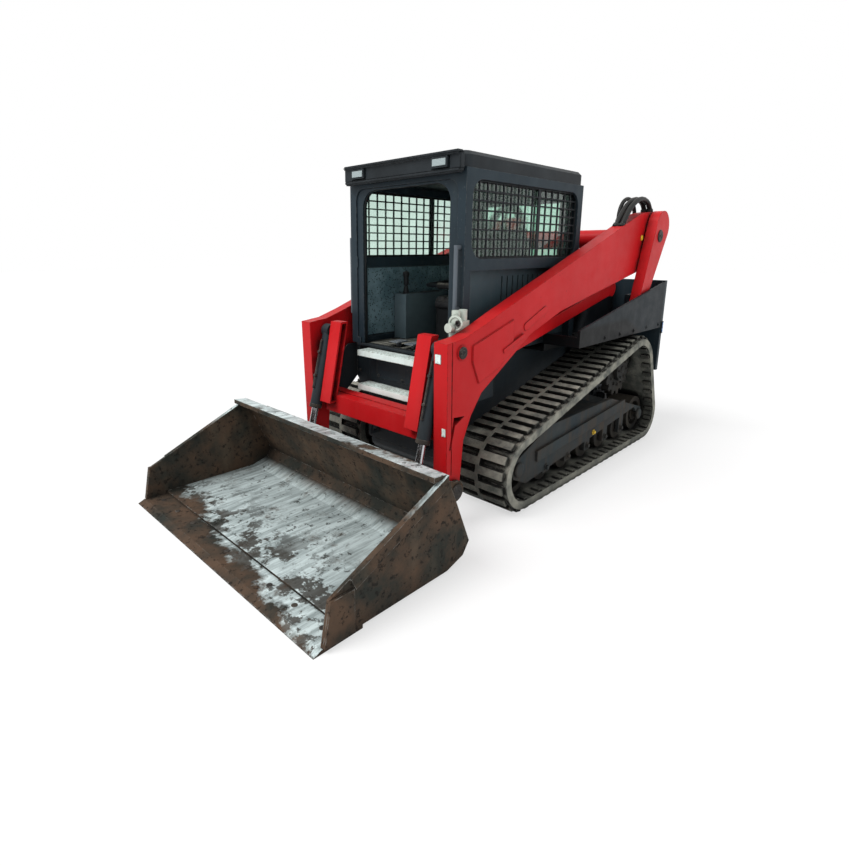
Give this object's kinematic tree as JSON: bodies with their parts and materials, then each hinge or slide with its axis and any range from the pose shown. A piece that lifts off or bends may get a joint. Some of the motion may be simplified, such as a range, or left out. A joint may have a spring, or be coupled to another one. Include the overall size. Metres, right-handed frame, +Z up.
{
  "type": "compact track loader",
  "caption": "Compact track loader with rubber tracks, a caged cab, vertical-lift boom arms, hydraulic cylinders and a wide bucket resting on the ground.",
  "frame": {"origin": "on the ground, at the middle of the length and width", "axes": "+X forward to the bucket, +Y the machine's left, +Z up"},
  "size_m": [3.796, 1.866, 2.078],
  "materials": {
    "red_paint": "worn satin red paint with dust",
    "slate_paint": "satin dark slate paint",
    "black_paint": "satin black paint, dusty",
    "step_paint": "pale grey grip steel",
    "track_rubber": "dusty black rubber",
    "worn_steel": "worn bright floor with rust at the lip",
    "cast_iron": "dusty cast iron",
    "bright_rod": "ground and plated rod",
    "clear_glass": "clear",
    "seat_cover": "matt black vinyl",
    "black_plastic": "moulded black",
    "lamp_plastic": "clear lens in a dark housing",
    "grey_steel": "zinc plated"
  },
  "bodies": {
    "machine": {"tracks": "track_rubber", "track_frames": "black_paint", "track_rollers": "cast_iron", "track_idlers": "cast_iron", "final_drives": "cast_iron", "sprockets": "cast_iron", "main_frame": "black_paint", "engine_block": "cast_iron", "engine_bay": "slate_paint", "engine_hood": "slate_paint", "rear_posts": "slate_paint", "rear_lamps": "lamp_plastic", "side_bodies": "slate_paint", "tie_down_lugs": "black_paint", "front_steps": "step_paint", "cab_floor": "black_paint", "cab_frame": "slate_paint", "cab_side_panels": "slate_paint", "cab_side_meshes": "black_paint", "cab_rear_wall": "slate_paint", "cab_rear_glass": "clear_glass", "cab_roof": "slate_paint", "work_lamps": "lamp_plastic", "grab_handles": "black_paint", "seat_base": "black_paint", "seat_cushion": "seat_cover", "seat_back": "seat_cover", "control_consoles": "black_plastic", "joysticks": "black_plastic"},
    "rear_links": {"rear_links": "red_paint"},
    "boom": {"boom_arms": "red_paint", "boom_cross_tube": "red_paint", "boom_pipes": "black_paint", "boom_front_frame": "red_paint", "coupler_block": "grey_steel"},
    "control_links": {"control_links": "red_paint"},
    "lift_barrels": {"lift_barrels": "black_paint"},
    "lift_rods": {"lift_rods": "bright_rod"},
    "tilt_barrels": {"tilt_barrels": "black_paint"},
    "tilt_rods": {"tilt_rods": "bright_rod"},
    "bucket": {"hitch_plate": "black_paint", "bucket_shell": "worn_steel", "cutting_edge": "worn_steel", "side_cutters": "worn_steel"},
    "rear_door": {"rear_door": "slate_paint"},
    "lap_bar": {"lap_bar": "black_paint"}
  },
  "joints": [
    {"name": "rear_link_swing", "type": "hinge", "parent": "machine", "child": "rear_links", "pos_m": [-1.475, 0, 1.143], "axis": [0, -1, 0], "range_deg": [0, 7.3]},
    {"name": "boom_lift", "type": "hinge", "parent": "rear_links", "child": "boom", "pos_m": [-1.698, 0, 1.655], "axis": [0, -1, 0], "range_deg": [0, 53.5]},
    {"name": "control_link_swing", "type": "hinge", "parent": "machine", "child": "control_links", "pos_m": [0.237, 0, 0.91], "axis": [0, -1, 0], "range_deg": [-17.1, 0]},
    {"name": "lift_barrel_swing", "type": "hinge", "parent": "machine", "child": "lift_barrels", "pos_m": [-1.05, 0, 0.6], "axis": [0, -1, 0], "range_deg": [-6, 0]},
    {"name": "lift_rod_slide", "type": "slide", "parent": "lift_barrels", "child": "lift_rods", "axis": [-0.3299, 0, 0.944], "range_m": [0, 0.408]},
    {"name": "bucket_tilt", "type": "hinge", "parent": "boom", "child": "bucket", "pos_m": [0.725, 0, 0.235], "axis": [0, 1, 0], "range_deg": [-28, 95]},
    {"name": "tilt_barrel_swing", "type": "hinge", "parent": "boom", "child": "tilt_barrels", "pos_m": [0.68, 0, 1.015], "axis": [0, 1, 0], "range_deg": [-1, 3]},
    {"name": "tilt_rod_slide", "type": "slide", "parent": "tilt_barrels", "child": "tilt_rods", "axis": [0.2557, 0, -0.9668], "range_m": [-0.07, 0.235]},
    {"name": "rear_door_swing", "type": "hinge", "parent": "machine", "child": "rear_door", "pos_m": [-1.889, -0.315, 0.9], "axis": [0, 0, 1], "range_deg": [0, 100]},
    {"name": "lap_bar_swing", "type": "hinge", "parent": "machine", "child": "lap_bar", "pos_m": [-0.47, 0, 1.33], "axis": [0, -1, 0], "range_deg": [0, 75]}
  ],
  "couplings": [
    {"joint": "rear_link_swing", "follows": "boom_lift", "ratio": 0.13636},
    {"joint": "control_link_swing", "follows": "boom_lift", "ratio": -0.31818},
    {"joint": "lift_barrel_swing", "follows": "boom_lift", "ratio": -0.1118},
    {"joint": "lift_rod_slide", "follows": "boom_lift", "m_per_rad": 0.4366},
    {"joint": "tilt_barrel_swing", "follows": "bucket_tilt", "ratio": 0.03},
    {"joint": "tilt_rod_slide", "follows": "bucket_tilt", "m_per_rad": 0.14}
  ]
}
